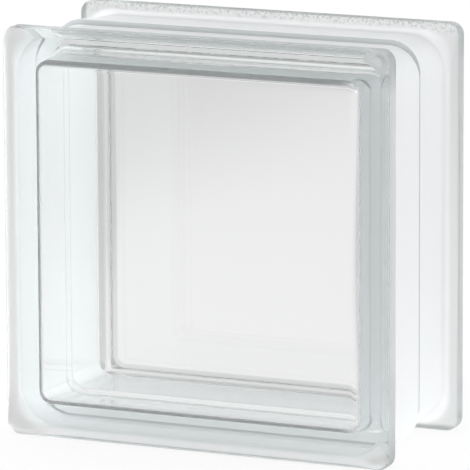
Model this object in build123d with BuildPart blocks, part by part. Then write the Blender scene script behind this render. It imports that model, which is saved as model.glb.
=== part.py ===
from build123d import *
import os

os.makedirs("parts", exist_ok=True)

# Hollow pressed glass block for walls, standing on its edge.
# X runs across the block, Y from the front face to the back face, Z up.
# The origin is on the floor, under the middle of the block.

# Driving dimensions, in millimetres
face_size = 190.0        # width and height of each face
block_depth = 95.0       # front face to back face
rim_thickness = 10.8     # rim round each face, the part that shows beside the mortar
rim_corner = 5.8         # corner of a face, seen square on
pane_thickness = 6.1     # glass of each face, in front of the cavity
shoulder_slope = 1.0     # the back of the rim slopes by this much towards the groove
groove_depth = 5.1       # mortar groove, measured in from the rim, where the wall leaves it
groove_splay = 1.1       # the wall splays out by this much where it meets the shoulder
groove_draft = 1.3       # the wall leans out by this much between the rim and the seam
wall_corner = 17.5       # corner of the wall at the bottom of the groove
cavity_in_pane = 15.3    # face edge to cavity, beside the pane
cavity_in_seam = 12.8    # face edge to cavity, at the seam
cavity_corner_pane = 6.0     # upright corner of the cavity, beside the pane
cavity_corner_seam = 7.5     # the same corner at the seam
lip_drop = 1.15          # the lip of the pressing sits this much below the middle of its face

# Softened edges
face_edge_round = 4.2    # front edge of the rim, round the face
shoulder_bevel = 0.6     # back edge of the rim, beside the groove
pane_cove = 4.0          # hollow corner where the cavity meets the pane
lip_bevel = 0.3          # softened lip of each half, which leaves a fine line round the seam

half_depth = block_depth / 2
middle = face_size / 2
wall_at_rim = face_size - 2 * groove_depth
wall_at_shoulder = wall_at_rim + 2 * groove_splay
wall_at_seam = wall_at_rim + 2 * groove_draft
lip_size = wall_at_seam - 2 * lip_bevel
cavity_at_pane = face_size - 2 * cavity_in_pane
cavity_at_seam = face_size - 2 * cavity_in_seam

# The seam lies at half depth. Its plane faces the front, so an offset is a distance forward.
seam = Plane(origin=(0, 0, middle), x_dir=(1, 0, 0), z_dir=(0, -1, 0))
front_face = seam.offset(half_depth)
rim_back = seam.offset(half_depth - rim_thickness)
shoulder_end = rim_back.offset(-shoulder_slope)
groove_start = shoulder_end.offset(-groove_splay)
lip_start = seam.offset(lip_bevel)
pane_inside = seam.offset(half_depth - pane_thickness)


def edges_in(plane, part):
    """The edges of the part that lie in one of the upright planes above."""
    touch = 0.01
    return part.edges().filter_by_position(Axis.Y, plane.origin.Y - touch, plane.origin.Y + touch)


# Front half: one pressing, a square dish whose floor is the pane
with BuildPart() as front_half:
    # The rim is a square plate with rounded corners
    with BuildSketch(front_face):
        RectangleRounded(face_size, face_size, rim_corner)
    extrude(amount=-(rim_thickness + shoulder_slope))

    # Its back slopes down all round, so that the mould lets go, and its edges are softened
    plate_back = front_half.faces().sort_by(Axis.Y)[-1]
    chamfer(plate_back.edges(), groove_depth - groove_splay, shoulder_slope, reference=plate_back)
    chamfer(edges_in(rim_back, front_half), shoulder_bevel)
    fillet(edges_in(front_face, front_half), face_edge_round)

    # The wall stands in from the rim, so that mortar has a groove to fill. It leaves the
    # shoulder with a short splay, leans out to the seam and ends in a bevelled lip.
    with BuildSketch(shoulder_end):
        RectangleRounded(wall_at_shoulder, wall_at_shoulder, wall_corner)
    with BuildSketch(groove_start):
        RectangleRounded(wall_at_rim, wall_at_rim, wall_corner)
    loft()
    with BuildSketch(groove_start):
        RectangleRounded(wall_at_rim, wall_at_rim, wall_corner)
    with BuildSketch(lip_start):
        with Locations((0, -lip_drop)):
            RectangleRounded(wall_at_seam, wall_at_seam, wall_corner)
    loft()
    with BuildSketch(lip_start):
        with Locations((0, -lip_drop)):
            RectangleRounded(wall_at_seam, wall_at_seam, wall_corner)
    with BuildSketch(seam):
        with Locations((0, -lip_drop)):
            RectangleRounded(lip_size, lip_size, wall_corner)
    loft()

    # The cavity widens towards the seam, the draft that lets the plunger out of the hot glass
    with BuildSketch(pane_inside):
        RectangleRounded(cavity_at_pane, cavity_at_pane, cavity_corner_pane)
    with BuildSketch(seam):
        with Locations((0, -lip_drop)):
            RectangleRounded(cavity_at_seam, cavity_at_seam, cavity_corner_seam)
    loft(mode=Mode.SUBTRACT)
    fillet(edges_in(pane_inside, front_half), pane_cove)

front_half.part.label = "front_half"
export_step(front_half.part, "parts/front_half.step")

# Back half: the same pressing turned upside down to face the other way, and fused on at the lip.
# Its lip now sits as much above the middle as the other sits below it, and that leaves a step
# at the seam along the top and the bottom, while the two rims stay level.
turn_axis = Axis((0, 0, middle), (1, 0, 0))
with BuildPart() as back_half:
    add(front_half.part.rotate(turn_axis, 180))

back_half.part.label = "back_half"
export_step(back_half.part, "parts/back_half.step")

glass_volume = front_half.part.volume + back_half.part.volume
print("glass", round(glass_volume / 1000), "cm3, about", round(glass_volume * 2.5e-6, 2), "kg")
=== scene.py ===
# %% [markdown]
# # A hollow glass block
# The real block is two pressed glass dishes, fused face to face while they are hot, so that still
# air stays sealed between two clear panes. It is laid in walls like a brick, and mortar fills the
# groove round its edges. This lesson builds it as one skin of glass round one skin of air, gives it
# the look of clear pressed soda-lime glass, and lights it as glass is lit in a studio.

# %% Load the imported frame
import math

import bpy
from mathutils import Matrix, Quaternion, Vector, noise


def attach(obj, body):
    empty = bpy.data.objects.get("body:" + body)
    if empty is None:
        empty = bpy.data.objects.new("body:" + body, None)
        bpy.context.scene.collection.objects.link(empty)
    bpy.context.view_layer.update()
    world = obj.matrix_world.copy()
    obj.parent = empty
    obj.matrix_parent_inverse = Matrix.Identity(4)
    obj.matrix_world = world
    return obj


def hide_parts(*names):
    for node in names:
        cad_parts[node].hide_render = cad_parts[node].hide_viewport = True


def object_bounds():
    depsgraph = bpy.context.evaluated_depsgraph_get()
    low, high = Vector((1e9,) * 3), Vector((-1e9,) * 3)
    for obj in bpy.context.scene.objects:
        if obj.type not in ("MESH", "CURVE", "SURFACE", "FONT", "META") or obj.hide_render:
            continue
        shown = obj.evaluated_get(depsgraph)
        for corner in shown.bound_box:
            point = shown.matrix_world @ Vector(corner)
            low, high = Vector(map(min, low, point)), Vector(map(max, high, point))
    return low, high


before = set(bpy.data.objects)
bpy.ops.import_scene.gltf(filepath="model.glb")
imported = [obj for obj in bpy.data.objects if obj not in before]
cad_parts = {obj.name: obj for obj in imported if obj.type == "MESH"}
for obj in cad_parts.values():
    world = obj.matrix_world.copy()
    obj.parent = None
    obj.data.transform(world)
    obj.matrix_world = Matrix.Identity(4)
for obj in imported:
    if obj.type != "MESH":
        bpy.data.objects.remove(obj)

MM = 0.001
cad_low, cad_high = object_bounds()
face_size = (cad_high.x - cad_low.x) / MM
block_depth = (cad_high.y - cad_low.y) / MM
half_depth = block_depth / 2
middle = face_size / 2
print("block", round(face_size, 1), "mm square and", round(block_depth, 1), "mm deep")

# %% [markdown]
# ## The section of the block
# Cut square across, the block is a square with round corners at every depth. Only its size, its
# corner and its height change from the face to the seam, so the whole skin can be drawn as a stack
# of such loops. A modelled box with bevels would need many joined fillets, and where they meet,
# glass shows every flaw. The stack has none, and every loop has the same number of points.

# %% One loop of the block's section
side_steps = 80
corner_steps = 16


def rounded_square(half, corner, lift, y):
    """A square with round corners at depth y, as a closed loop of points in millimetres."""
    straight = half - corner
    loop = []
    for turn in range(4):
        along = math.radians(90 * turn)
        out = Vector((math.cos(along), 0, math.sin(along)))
        up = Vector((-math.sin(along), 0, math.cos(along)))
        for step in range(side_steps):
            loop.append(out * half + up * straight * (2 * step / side_steps - 1))
        centre = (out + up) * straight
        for step in range(corner_steps):
            swing = math.radians(90 * step / corner_steps)
            loop.append(centre + out * corner * math.cos(swing) + up * corner * math.sin(swing))
    return [point + Vector((0, y, middle + lift)) for point in loop]


print("points in a loop", len(rounded_square(10, 2, 0, 0)))

# %% [markdown]
# ## The pressed half
# Each dish has a pane, a rim that stands proud round it, and a wall that leans a little so that the
# mould lets go. Pressed glass has no sharp edge: the rim is rounded in front and behind, and coves
# lead from the rim into the wall and from the pane into the cavity. Glass shows its section through
# its own depth, so these sizes decide where each bright and dark line in the block falls. The
# cavity wall bends by a hair at its knee: with one straight lean, light ran up the wall like water
# in a pipe, and left a dark bar beside the seam that the real block doesn't have.

# %% Sizes of one pressing, in millimetres
rim_thickness = 10.8
rim_corner = 5.8
pane_thickness = 6.1
shoulder_slope = 1.2
groove_depth = 5.1
groove_draft = 1.3
wall_corner = 17.5
cavity_in_pane = 15.3
cavity_in_seam = 12.8
cavity_knee = 11.0
cavity_in_knee = 13.2
cavity_corner_pane = 6.0
cavity_corner_seam = 7.5
lip_drop = 1.15

# %% Radii and bevels of one pressing, in millimetres
face_edge_round = 4.2
shoulder_round = 2.0
groove_cove = 4.3
pane_cove = 4.0
knee_round = 300
lip_bevel = 0.5
lip_round = 0.3
cavity_lip_round = 0.3
seam_gap = 0.06
least_corner = 0.6
least_cavity_corner = 0.8
groove_start = rim_thickness + shoulder_slope
print("the wall leaves the rim", groove_start, "mm behind the face")

# %% [markdown]
# ## Rounding the profile
# The profile of the pressing is a handful of corners, each with its own radius, as a mould maker
# would dimension it. One helper replaces a corner by its arc. The next cuts the straight runs into
# short steps as well, because the faint waves that come later need points to move. A bevel modifier
# would give every edge one radius, and here each has its own.

# %% One rounded corner
def blend(start, end, share):
    return start + (end - start) * share


def corner_arc(before, corner, after, radius, arc_step):
    """Where the arc in a rounded corner starts, and its points, about arc_step degrees apart."""
    back = (before - corner).normalized()
    ahead = (after - corner).normalized()
    half_angle = back.angle(ahead) / 2
    reach = radius / math.tan(half_angle)
    centre = corner + (back + ahead).normalized() * (radius / math.sin(half_angle))
    start = corner + back * reach
    end = corner + ahead * reach
    turn = math.pi - 2 * half_angle
    steps = max(3, round(math.degrees(turn) / arc_step))
    arc = []
    for step in range(steps + 1):
        share = step / steps
        from_start = (start - centre) * math.sin((1 - share) * turn)
        from_end = (end - centre) * math.sin(share * turn)
        arc.append(centre + (from_start + from_end) / math.sin(turn))
    return start, arc


square_corner = Vector((0, 0)), Vector((1, 0)), Vector((1, 1))
print("the arc in a square corner has", len(corner_arc(*square_corner, 0.5, 9)[1]), "points")


# %% A profile with rounded corners
longest_run = 3.5
arc_degrees = 9


def rounded_profile(corners):
    """Points (depth, inset) along a profile of corners (depth, inset, radius)."""
    at = [Vector(corner[:2]) for corner in corners]
    points = [at[0]]
    for i in range(1, len(corners)):
        leave, arc = at[i], []
        if i < len(corners) - 1:
            leave, arc = corner_arc(at[i - 1], at[i], at[i + 1], corners[i][2], arc_degrees)
        origin = points[-1]
        pieces = max(1, math.ceil((leave - origin).length / longest_run))
        points += [blend(origin, leave, piece / pieces) for piece in range(1, pieces + (not arc))]
        points += arc
    return points


print("a round corner has", len(rounded_profile([(0, 0), (1, 0, 0.5), (1, 1)])) - 2, "points")

# %% [markdown]
# ## Outside and cavity
# Both skins of a half are such profiles. The outside starts on the face and ends at the fused lip.
# The cavity starts on the inner side of the pane and ends at the same lip. With each point goes the
# corner radius of its loop, and its share of the lean, because the lip sits a little below the
# middle of the face: that is what leaves a step at the seam along the top and the bottom.

# %% The outside of one half
flat_before_arc = 1.5


def outer_sections():
    """Sections of the outside, as (depth, inset, corner radius, share of lean)."""
    lip_inset = groove_depth - groove_draft
    corners = [
        (0, face_edge_round + flat_before_arc),
        (0, 0, face_edge_round),
        (rim_thickness, 0, shoulder_round),
        (groove_start, groove_depth, groove_cove),
        (half_depth - lip_bevel, lip_inset, lip_round),
        (half_depth - seam_gap, lip_inset + lip_bevel),
    ]
    sections = []
    for depth, inset in rounded_profile(corners):
        if depth < rim_thickness / 2:
            corner = rim_corner - inset
        else:
            corner = blend(rim_corner, wall_corner, min(1, inset / groove_depth))
        lean = max(0, (depth - groove_start) / (half_depth - groove_start))
        sections.append((depth, inset, max(corner, least_corner), lean))
    return sections


print("sections of the outside of a half:", len(outer_sections()))


# %% The cavity of one half
def cavity_sections():
    """Sections of the cavity, in the same terms."""
    corners = [
        (pane_thickness, cavity_in_pane + pane_cove + flat_before_arc),
        (pane_thickness, cavity_in_pane, pane_cove),
        (half_depth - cavity_knee, cavity_in_knee, knee_round),
        (half_depth, cavity_in_seam, cavity_lip_round),
        (half_depth - seam_gap, cavity_in_seam - lip_bevel),
    ]
    sections = []
    for depth, inset in rounded_profile(corners):
        share = (depth - pane_thickness) / (half_depth - pane_thickness)
        corner = blend(cavity_corner_pane, cavity_corner_seam, share)
        into_cove = inset - blend(cavity_in_pane, cavity_in_seam, share)
        sections.append((depth, inset, max(corner - into_cove, least_cavity_corner), share))
    return sections


print("sections of the cavity of a half:", len(cavity_sections()))

# %% [markdown]
# ## The faint waves of pressed glass
# A plunger leaves the inside of a pressing almost flat, but not quite: the glass shrinks as it
# cools and settles in waves, up to a tenth of a millimetre on the walls and far less in the panes.
# Flat walls would draw ruler straight lines. A bump map would bend the light but leave the mesh
# flat, so noise over the real surface moves the points themselves. The faces and the rim stay true,
# because they bear on other things, and the waves die out at the seam, where the two halves meet.

# %% Waves on the walls and inside the panes
wall_wave = 0.10
wall_wave_length = 34.0
pane_wave = 0.02
pane_wave_length = 45.0
calm_by_seam = 6
depth_stretch = 1.5


def wave(point, length, seed):
    """Smooth noise between about -1 and 1, in waves of that length in millimetres."""
    place = Vector((point.x, point.y * depth_stretch, point.z)) / length
    return noise.noise(place + Vector((seed, seed, seed)))


def settle(loop, depth, facing, is_cavity):
    """Move the points of one loop by the faint waves. Each skin of each half has a seed of its own."""
    seed = 11.3 + 7.1 * facing + (31.7 if is_cavity else 0)
    on_wall = depth > (pane_thickness + pane_cove if is_cavity else groove_start)
    if on_wall:
        near_seam = min(1, (half_depth - depth) / calm_by_seam)
        centre = Vector((0, 0, middle))
        for point in loop:
            away = Vector((point.x, 0, point.z)) - centre
            point += away.normalized() * wall_wave * near_seam * wave(point, wall_wave_length, seed)
    elif is_cavity:
        for point in loop:
            point.y += pane_wave * wave(point, pane_wave_length, seed)
    return loop


print("waves of", wall_wave, "mm on the walls and", pane_wave, "mm inside the panes")

# %% [markdown]
# ## One skin of glass
# The two halves are one piece of glass once they are fused. If each kept its own lip, light would
# meet two faces there that the real block doesn't have, and the seam would show as a mirror. So the
# outside runs as one closed skin over both halves, and the cavity is a second closed skin turned
# inside out. The renderer then knows which side is glass and which is air.

# %% Loops of one half
pane_rings = 10
ring_corner = 0.03


def loops_of(sections, facing, is_cavity):
    """Loops of one half, pane first: facing is -1 for the front half and 1 for the back one."""
    pane_depth, pane_edge = sections[0][0], sections[0][1]
    loops = []
    for ring in range(1, pane_rings):
        half = middle - (middle - (middle - pane_edge) * ring / pane_rings)
        loop = rounded_square(half, half * ring_corner, 0, facing * (half_depth - pane_depth))
        loops.append(settle(loop, pane_depth, facing, is_cavity))
    for depth, inset, corner, lean in sections:
        lift = lip_drop * lean * facing
        loop = rounded_square(middle - inset, corner, lift, facing * (half_depth - depth))
        loops.append(settle(loop, depth, facing, is_cavity))
    return loops


print("rings from the middle of a pane to its edge", pane_rings)


# %% Join the loops into a closed skin
def skin(loops, inwards):
    """Points and faces of a closed skin through the loops, capped at both ends."""
    count = len(loops[0])
    points = [point for loop in loops for point in loop]
    faces = []
    for ring in range(len(loops) - 1):
        a, b = ring * count, (ring + 1) * count
        for i in range(count):
            j = (i + 1) % count
            faces.append((a + i, b + i, b + j, a + j))
    for start, is_last in ((0, False), ((len(loops) - 1) * count, True)):
        hub = len(points)
        points.append(sum((points[start + i] for i in range(count)), Vector()) / count)
        for i in range(count):
            j = (i + 1) % count
            faces.append((start + i, hub, start + j) if is_last else (start + j, hub, start + i))
    if inwards:
        faces = [face[::-1] for face in faces]
    return points, faces


two_loops = [rounded_square(10, 2, 0, depth) for depth in (0, 5)]
print("a skin through two loops has", len(skin(two_loops, False)[1]), "faces")

# %% [markdown]
# ## Where each finish and painted line lies
# Four things on the block begin and end at a depth: a satin skin from the side of the rim inwards,
# the white coat of the groove, a grey line of painted shade in the crease of the seam, and grey
# lines of painted reflection on the coves of the cavity. They could be masks painted on an image,
# or noise and gradients in the material. Each loop of the mesh lies at one depth, so a number
# stored with its points says exactly how much of each there is, and the material reads it by name.

# %% The share of each finish and painted line at each point
satin_from, satin_fade = 2.0, 1.0
coat_from, coat_fade = 11.6, 0.6
seam_band = lip_bevel + 0.05
cove_line = 1.9
cove_line_ends, cove_line_fade = 78, 8
finish_and_line_names = ("satin", "coat", "seam", "cove")


def shares_of_finishes_and_lines(loop, is_cavity):
    """The share of each finish and painted line at each point of a loop, by name. The sizes are millimetres
    of depth.
    """
    depth = half_depth - abs(loop[0].y)
    half = max(abs(point.x) for point in loop)
    outside = 0.0 if is_cavity else 1.0
    satin = outside * min(1, max(0, (depth - satin_from) / satin_fade))
    coat = outside * min(1, max(0, (depth - coat_from) / coat_fade))
    in_seam = outside and depth > half_depth - seam_band
    in_cove = is_cavity and depth < pane_thickness + pane_cove and half > middle - cavity_in_pane - cove_line
    shares = {"satin": [satin] * len(loop), "coat": [coat] * len(loop)}
    shares["seam"] = [1.0 if in_seam else 0.0] * len(loop)
    shares["cove"] = [0.0] * len(loop)
    if in_cove:
        shares["cove"] = [min(1, max(0, (cove_line_ends - point.x) / cove_line_fade)) for point in loop]
    return shares


print("white coat from", coat_from, "mm behind each face")


# %% Build the block
def build_glass():
    points, faces = [], []
    shares = {name: [] for name in finish_and_line_names}
    for sections, is_cavity in ((outer_sections(), False), (cavity_sections(), True)):
        loops = loops_of(sections, -1, is_cavity) + loops_of(sections, 1, is_cavity)[::-1]
        for loop in loops:
            for name, values in shares_of_finishes_and_lines(loop, is_cavity).items():
                shares[name] += values
        for name in finish_and_line_names:
            shares[name] += [0.0, 0.0]
        more_points, more_faces = skin(loops, is_cavity)
        faces += [tuple(len(points) + i for i in face) for face in more_faces]
        points += more_points
    mesh = bpy.data.meshes.new("glass_block")
    mesh.from_pydata([tuple(point * MM) for point in points], [], faces)
    mesh.polygons.foreach_set("use_smooth", [True] * len(mesh.polygons))
    for name in finish_and_line_names:
        mesh.attributes.new(name, "FLOAT", "POINT").data.foreach_set("value", shares[name])
    piece = bpy.data.objects.new("glass_block", mesh)
    bpy.context.collection.objects.link(piece)
    return piece


glass = build_glass()
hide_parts("front_half", "back_half")
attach(glass, "root")
print("triangles", sum(len(face.vertices) - 2 for face in glass.data.polygons))

# %% [markdown]
# ## Helpers for materials
# Every material is a small tree of nodes. One helper adds a node with its settings and its inputs,
# and another turns a colour as it is picked from a screen into the linear light that nodes use.

# %% Colours and nodes
def linear(hex_colour):
    """An sRGB hex colour as linear red, green, blue and 1."""
    channels = [int(hex_colour[i:i + 2], 16) / 255 for i in (1, 3, 5)]
    return tuple(c / 12.92 if c <= 0.04045 else ((c + 0.055) / 1.055) ** 2.4 for c in channels) + (1.0,)


def add_node(tree, kind, settings=None, **inputs):
    """A node of that kind with its settings, and inputs that are values or other nodes' sockets."""
    node = tree.nodes.new(kind)
    for name, value in (settings or {}).items():
        setattr(node, name, value)
    for name, value in inputs.items():
        socket = node.inputs[int(name[1:])] if name[0] == "_" else node.inputs[name.replace("_", " ")]
        if isinstance(value, bpy.types.NodeSocket):
            tree.links.new(value, socket)
        else:
            socket.default_value = value
    return node


def new_material(name):
    material = bpy.data.materials.new(name)
    material.use_nodes = True
    material.node_tree.nodes.clear()
    return material, material.node_tree


times = {"operation": "MULTIPLY"}
less = {"operation": "SUBTRACT"}
larger = {"operation": "MAXIMUM"}
times_plus = {"operation": "MULTIPLY_ADD"}
smooth = {"interpolation_type": "SMOOTHSTEP"}
print("white paper is", [round(c, 3) for c in linear("#FDFDFD")])

# %% [markdown]
# ## Clear pressed soda-lime glass
# Soda-lime glass bends light by 1.52, and has a trace of iron that tints it grey green where light
# runs along it for a hand's breadth. The tint could be a colour on the surface, but then thick and
# thin glass would look alike. Here it is taken up in the depth of the glass, as in the real one.
# Pressed against hot iron and then polished by fire, the surface is bright. Only the sides of the
# rims, which slid along the mould ring, keep a satin skin that blurs what lies behind it.

# %% The clear glass
glass_tint = "#F4F8F7"
tint_density = 9.0
satin_roughness = 0.4

block_glass, tree = new_material("clear_pressed_soda_lime_glass")
satin = add_node(tree, "ShaderNodeAttribute", {"attribute_name": "satin"})
rough = add_node(tree, "ShaderNodeMath", times, _0=satin.outputs["Fac"], _1=satin_roughness)
clear = add_node(tree, "ShaderNodeBsdfPrincipled", Base_Color=(1, 1, 1, 1), Roughness=rough.outputs[0],
                 IOR=1.52, Transmission_Weight=1.0)
depth_tint = add_node(tree, "ShaderNodeVolumeAbsorption", Color=linear(glass_tint), Density=tint_density)
print("glass tint", glass_tint, "at density", tint_density)

# %% [markdown]
# ## The white coat in the groove
# The edges that mortar will touch are coated white, so that mortar grips them and the joint stays
# out of sight. The coat is thin: it throws back more light than it lets through, so it looks white
# from outside and glows a little from within. A plain white paint would make the wall a dead
# surface, and the light that comes in through the far wall would be lost. Seen from within the
# glass the coat is painted greyer, a painted shade, so its two sides have two colours. The side
# is known from whether a ray meets the skin from within the glass. A little of the glass shows
# through it.

# %% The coat
coat_colour = "#FAFBFC"
# The inner colour is painted shade: the coat seen from within the glass is drawn greyer.
coat_inside_painted_shade = "#E1E5E6"
coat_lets_through = 0.42
coat_cover = 0.85

side = add_node(tree, "ShaderNodeNewGeometry")
coat_shade = add_node(tree, "ShaderNodeMix", {"data_type": "RGBA"}, _0=side.outputs["Backfacing"],
                      _6=linear(coat_colour), _7=linear(coat_inside_painted_shade))
thrown_back = add_node(tree, "ShaderNodeBsdfDiffuse", Color=coat_shade.outputs[2])
let_through = add_node(tree, "ShaderNodeBsdfTranslucent", Color=coat_shade.outputs[2])
milky = add_node(tree, "ShaderNodeMixShader", Fac=coat_lets_through, _1=thrown_back.outputs[0],
                 _2=let_through.outputs[0])
coat = add_node(tree, "ShaderNodeAttribute", {"attribute_name": "coat"})
cover = add_node(tree, "ShaderNodeMath", times, _0=coat.outputs["Fac"], _1=coat_cover)
coated = add_node(tree, "ShaderNodeMixShader", Fac=cover.outputs[0], _1=clear.outputs["BSDF"],
                  _2=milky.outputs[0])
print("the coat lets", coat_lets_through, "of the light through")

# %% [markdown]
# ## The seam and the edge of the cavity
# The fused seam leaves a shallow crease round the block, and a grey line of painted shade is drawn
# in it, fainter where it is seen from within the glass. The tight coves round the cavity catch the
# dark side of a room and show as lines too. In a white room nothing dark is there to be caught, so
# those lines are drawn in grey on the coves as a painted reflection. The front cove is seen from
# within the glass only, and the back one more faintly.
# Dark cards round the block would make such lines as well, but they darkened the walls with them.

# %% The grey lines of painted shade and painted reflection
# One grey for the painted shade in the seam's crease, the painted reflection on the coves, the grey rim
# sides and the grit.
painted_lines_and_grit_grey = "#8E9496"
back_line = 0.3
crease_from_within = 0.15

place = add_node(tree, "ShaderNodeTexCoord")
axes = add_node(tree, "ShaderNodeSeparateXYZ", Vector=place.outputs["Object"])
seam = add_node(tree, "ShaderNodeAttribute", {"attribute_name": "seam"})
cove = add_node(tree, "ShaderNodeAttribute", {"attribute_name": "cove"})
back_half = add_node(tree, "ShaderNodeMapRange", Value=axes.outputs["Y"], From_Min=0.0, From_Max=1 * MM,
                     To_Min=0.0, To_Max=back_line)
sight = add_node(tree, "ShaderNodeMath", larger, _0=side.outputs["Backfacing"], _1=back_half.outputs[0])
# Painted reflection: a grey line on the coves, seen from within the glass, fainter on the back half.
painted_cove_reflection = add_node(tree, "ShaderNodeMath", times, _0=cove.outputs["Fac"], _1=sight.outputs[0])
# Painted shade: a grey line in the crease of the seam, fainter where seen from within the glass.
fading = add_node(tree, "ShaderNodeMath", times_plus, _0=side.outputs["Backfacing"],
                  _1=crease_from_within - 1, _2=1.0)
painted_crease_shade = add_node(tree, "ShaderNodeMath", times, _0=seam.outputs["Fac"], _1=fading.outputs[0])
lines = add_node(tree, "ShaderNodeMath", larger, _0=painted_cove_reflection.outputs[0], _1=painted_crease_shade.outputs[0])
print("lines in", painted_lines_and_grit_grey)

# %% [markdown]
# ## Grit on the rims
# The bare satin sides of the rims are drawn a little grey, and the top edge of the back rim has
# picked up grit. Grit is about a quarter of a millimetre, and a pixel here covers half of one, so
# the grain is drawn five times as coarse, or it would vanish. Noise in the real size of the block
# gives it, and two ramps keep it to the back rim's top edge.

# %% The grey rims and the grit
speck_size = 1.3
# The bare rim sides are drawn a little grey; the grit is drawn on the back rim's top edge.
rim_side_grey = 0.2
grit_strength = 0.8
mark_strength = 0.6

grain = add_node(tree, "ShaderNodeTexNoise", Vector=place.outputs["Object"], Scale=1 / (speck_size * MM),
                 Detail=2.0)
speck = add_node(tree, "ShaderNodeMapRange", Value=grain.outputs["Fac"], From_Min=0.45, From_Max=0.62,
                 To_Min=0.0, To_Max=grit_strength)
behind = add_node(tree, "ShaderNodeMapRange", Value=axes.outputs["Y"], From_Min=34 * MM, From_Max=37 * MM)
above = add_node(tree, "ShaderNodeMapRange", Value=axes.outputs["Z"], From_Min=181 * MM, From_Max=188 * MM)
back_top = add_node(tree, "ShaderNodeMath", times, _0=behind.outputs[0], _1=above.outputs[0])
grit = add_node(tree, "ShaderNodeMath", times, _0=speck.outputs[0], _1=back_top.outputs[0])
grit_or_rim_grey = add_node(tree, "ShaderNodeMath", larger, _0=grit.outputs[0], _1=rim_side_grey)
bare = add_node(tree, "ShaderNodeMath", less, _0=satin.outputs["Fac"], _1=coat.outputs["Fac"])
rim_marks = add_node(tree, "ShaderNodeMath", times, _0=grit_or_rim_grey.outputs[0], _1=bare.outputs[0])
print("grit of", speck_size, "mm on the back rim")

# %% Put the finishes, the painted lines and the grit together
marks = add_node(tree, "ShaderNodeMath", larger, _0=lines.outputs[0], _1=rim_marks.outputs[0])
marked = add_node(tree, "ShaderNodeMath", times, _0=marks.outputs[0], _1=mark_strength)
grey = add_node(tree, "ShaderNodeBsdfDiffuse", Color=linear(painted_lines_and_grit_grey))
surface = add_node(tree, "ShaderNodeMixShader", Fac=marked.outputs[0], _1=coated.outputs[0],
                   _2=grey.outputs[0])
add_node(tree, "ShaderNodeOutputMaterial", Surface=surface.outputs[0], Volume=depth_tint.outputs["Volume"])
glass.data.materials.append(block_glass)
print("nodes in the glass", len(tree.nodes))

# %% [markdown]
# ## White paper
# The block stands on white paper that runs on out of sight. Clear glass has no colour of its own
# and shows what lies behind it, so the tones in its panes are those of the paper. A photographer
# shades the paper and the walls of the room until the glass reads against them. Here the paper is
# white where the camera sees it straight on, and the glass and the coat see it with painted shade:
# darker in front and to the left, with a painted shadow of the block behind it to the right and a
# painted shadow under it. The values below are those tones, and where each begins and ends in
# metres.

# %% The sheet
reach = 4.0
below_block = 0.0002
paper_colour = "#FDFDFD"

sheet = bpy.data.meshes.new("floor")
sheet.from_pydata([(-reach, -reach, 0), (reach, -reach, 0), (reach, reach, 0), (-reach, reach, 0)],
                  [], [(0, 1, 2, 3)])
floor = bpy.data.objects.new("floor", sheet)
bpy.context.collection.objects.link(floor)
floor.location.z = -below_block
print("paper", 2 * reach, "m square")

# %% The painted shade and shadows of the paper, as the glass sees it
paper, tree = new_material("white_paper_sweep")
place = add_node(tree, "ShaderNodeTexCoord")
axes = add_node(tree, "ShaderNodeSeparateXYZ", Vector=place.outputs["Object"])
# Painted shade: the paper is darker in front and to the left.
front = add_node(tree, "ShaderNodeMapRange", smooth, Value=axes.outputs["Y"], From_Min=-0.75, From_Max=-0.3,
                 To_Min=0.6, To_Max=1.0)
left = add_node(tree, "ShaderNodeMapRange", smooth, Value=axes.outputs["X"], From_Min=-0.44, From_Max=-0.2,
                To_Min=0.75, To_Max=0.89)
# A painted shadow of the block, on the paper behind it to the right.
block_shadow_centre = (0.27, 0.45, 0)
away = add_node(tree, "ShaderNodeVectorMath", {"operation": "DISTANCE"}, _0=place.outputs["Object"],
                _1=block_shadow_centre)
painted_block_shadow = add_node(tree, "ShaderNodeMapRange", smooth, Value=away.outputs["Value"], From_Min=0.1,
                 From_Max=0.4, To_Min=0.66, To_Max=1.0)
# A painted shadow under the block.
footprint = (10.5, 21, 0)
foot = add_node(tree, "ShaderNodeVectorMath", times, _0=place.outputs["Object"], _1=footprint)
from_foot = add_node(tree, "ShaderNodeVectorMath", {"operation": "LENGTH"}, _0=foot.outputs["Vector"])
painted_shadow_under = add_node(tree, "ShaderNodeMapRange", smooth, Value=from_foot.outputs["Value"], From_Min=0.9,
                 From_Max=1.6, To_Min=0.8, To_Max=1.0)
front_left = add_node(tree, "ShaderNodeMath", times, _0=front.outputs[0], _1=left.outputs[0])
with_block_shadow = add_node(tree, "ShaderNodeMath", times, _0=front_left.outputs[0], _1=painted_block_shadow.outputs[0])
tone = add_node(tree, "ShaderNodeMath", times, _0=with_block_shadow.outputs[0], _1=painted_shadow_under.outputs[0])
print("tones of the paper in", len(tree.nodes), "nodes")

# %% [markdown]
# ## What the paper throws on the coat
# The coat is matt, and matt surfaces are lit by rays that are told apart from those of glass. The
# paper is brighter to those rays, most of all to the left and under the block, where the coat of the
# real one is nearly white. To the camera the paper is white, and a share of plain matt paper keeps
# the faint shadow under the block.

# %% The finish of the paper
floor_spill = 1.35
floor_spill_right = 0.2
shadow_share = 0.12

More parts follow.
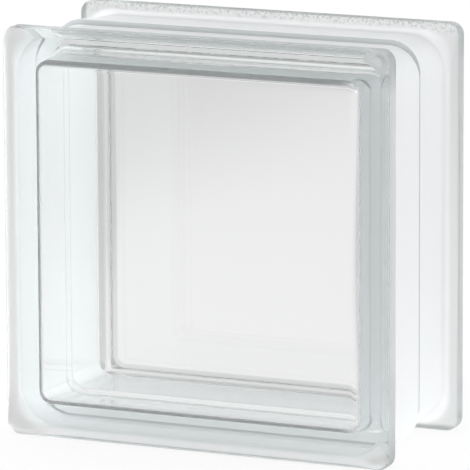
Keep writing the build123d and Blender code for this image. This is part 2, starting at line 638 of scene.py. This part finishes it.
rays = add_node(tree, "ShaderNodeLightPath")
beside = add_node(tree, "ShaderNodeMapRange", smooth, Value=axes.outputs["X"], From_Min=0.06, From_Max=0.24,
                  To_Min=floor_spill, To_Max=floor_spill_right)
spill = add_node(tree, "ShaderNodeMath", times_plus, _0=rays.outputs["Is Diffuse Ray"],
                 _1=beside.outputs[0], _2=1.0)
thrown = add_node(tree, "ShaderNodeMath", times, _0=tone.outputs[0], _1=spill.outputs[0])
shown = add_node(tree, "ShaderNodeMath", larger, _0=thrown.outputs[0], _1=rays.outputs["Is Camera Ray"])
glow = add_node(tree, "ShaderNodeEmission", Color=linear(paper_colour), Strength=shown.outputs[0])
matt = add_node(tree, "ShaderNodeBsdfDiffuse", Color=linear(paper_colour))
glow_share = add_node(tree, "ShaderNodeMath", times_plus, _0=rays.outputs["Is Camera Ray"],
                      _1=-shadow_share, _2=1.0)
mix = add_node(tree, "ShaderNodeMixShader", Fac=glow_share.outputs[0], _1=matt.outputs[0],
               _2=glow.outputs[0])
add_node(tree, "ShaderNodeOutputMaterial", Surface=mix.outputs[0])
paper.cycles.emission_sampling = "NONE"
sheet.materials.append(paper)
print("the coat gets up to", 1 + floor_spill, "times the tone of the paper")

# %% [markdown]
# ## The room
# Lamps would show in the glass as hard bright spots, and the real one shows none, so the light
# comes from the room itself. The glass sees it dimmer high up and in front, and brighter to the
# right. As with the paper, the matt coat gets its own light, much stronger than what the glass sees:
# 6.6 low on the left and 2.25 on the right, against 0.4 to 1.3. A plain even room left either the
# coat grey or the glass white. The price is that the coat is darker under other light, and burns out
# in views from its sides. Rays aimed at lights carry no such marks, so both samplings are turned off.

# %% What the glass sees of the room
world = bpy.data.worlds.new("studio")
bpy.context.scene.world = world
world.use_nodes = True
world.cycles.sampling_method = "NONE"
tree = world.node_tree
tree.nodes.clear()
place = add_node(tree, "ShaderNodeTexCoord")
axes = add_node(tree, "ShaderNodeSeparateXYZ", Vector=place.outputs["Generated"])
height = add_node(tree, "ShaderNodeMapRange", smooth, Value=axes.outputs["Z"], From_Min=0.0, From_Max=0.5,
                  To_Min=0.93, To_Max=0.65)
right_level = 1.3
right = add_node(tree, "ShaderNodeMapRange", smooth, Value=axes.outputs["X"], From_Min=-0.35, From_Max=0.35)
across = add_node(tree, "ShaderNodeMix", {"data_type": "FLOAT"}, _0=right.outputs[0], _2=height.outputs[0],
                  _3=right_level)
front = add_node(tree, "ShaderNodeMapRange", smooth, Value=axes.outputs["Y"], From_Min=-0.9, From_Max=-0.3,
                 To_Min=0.6, To_Max=1.0)
level = add_node(tree, "ShaderNodeMath", times, _0=across.outputs[0], _1=front.outputs[0])
print("to its right the glass sees a room of", right_level)

# %% What lights the coat
light_from_left = 6.6
light_from_right = 2.25
light_from_above = 0.09

rays = add_node(tree, "ShaderNodeLightPath")
low = add_node(tree, "ShaderNodeMapRange", smooth, Value=axes.outputs["Z"], From_Min=0.05, From_Max=0.55,
               To_Min=1.0, To_Max=light_from_above)
sided = add_node(tree, "ShaderNodeMapRange", smooth, Value=axes.outputs["X"], From_Min=-0.8, From_Max=0.8,
                 To_Min=light_from_left, To_Max=light_from_right)
soft = add_node(tree, "ShaderNodeMath", times, _0=low.outputs[0], _1=sided.outputs[0])
on_coat = add_node(tree, "ShaderNodeMath", times, _0=soft.outputs[0], _1=rays.outputs["Is Diffuse Ray"])
lit = add_node(tree, "ShaderNodeMath", larger, _0=level.outputs[0], _1=on_coat.outputs[0])
shown = add_node(tree, "ShaderNodeMath", larger, _0=lit.outputs[0], _1=rays.outputs["Is Camera Ray"])
room = add_node(tree, "ShaderNodeBackground", Color=(1, 1, 1, 1), Strength=shown.outputs[0])
add_node(tree, "ShaderNodeOutputWorld", Surface=room.outputs[0])
print("light on the coat", light_from_left, "from the left and", light_from_right, "from the right")

# %% [markdown]
# ## The camera
# The photograph shows hardly any perspective, so it was taken from well away, from the right of the
# block and a little above it. The numbers come from a camera fitted to the outline, the rims and
# the seam. Glass needs many bounces: a ray that enters the rim may run round the whole wall.

# %% Camera
camera_azimuth = 23.98
camera_elevation = 11.43
camera_roll = -0.27
camera_distance = 2376.6
focal_pixels = 5191.1
image_pixels = 470
sensor_width = 36
aim = Vector((0.19, 0, 92.1))


def make_camera():
    azimuth, elevation = math.radians(camera_azimuth), math.radians(camera_elevation)
    back = Vector((math.sin(azimuth) * math.cos(elevation), -math.cos(azimuth) * math.cos(elevation),
                   math.sin(elevation)))
    data = bpy.data.cameras.new("camera")
    camera = bpy.data.objects.new("camera", data)
    bpy.context.collection.objects.link(camera)
    data.sensor_width = sensor_width
    data.lens = focal_pixels * sensor_width / image_pixels
    data.clip_end = 50
    camera.location = (aim + back * camera_distance) * MM
    camera.rotation_mode = "QUATERNION"
    upright = (-back).to_track_quat("-Z", "Y")
    camera.rotation_quaternion = Quaternion(back, math.radians(camera_roll)) @ upright
    return camera


bpy.context.scene.camera = make_camera()
print("lens", round(bpy.context.scene.camera.data.lens), "mm")

# %% Bounces and the view
bpy.context.scene.view_settings.view_transform = "Standard"
bpy.context.scene.cycles.max_bounces = 32
bpy.context.scene.cycles.transmission_bounces = 32
bpy.context.scene.cycles.glossy_bounces = 16
bpy.context.scene.cycles.diffuse_bounces = 16
print("a ray may bounce", bpy.context.scene.cycles.max_bounces, "times")
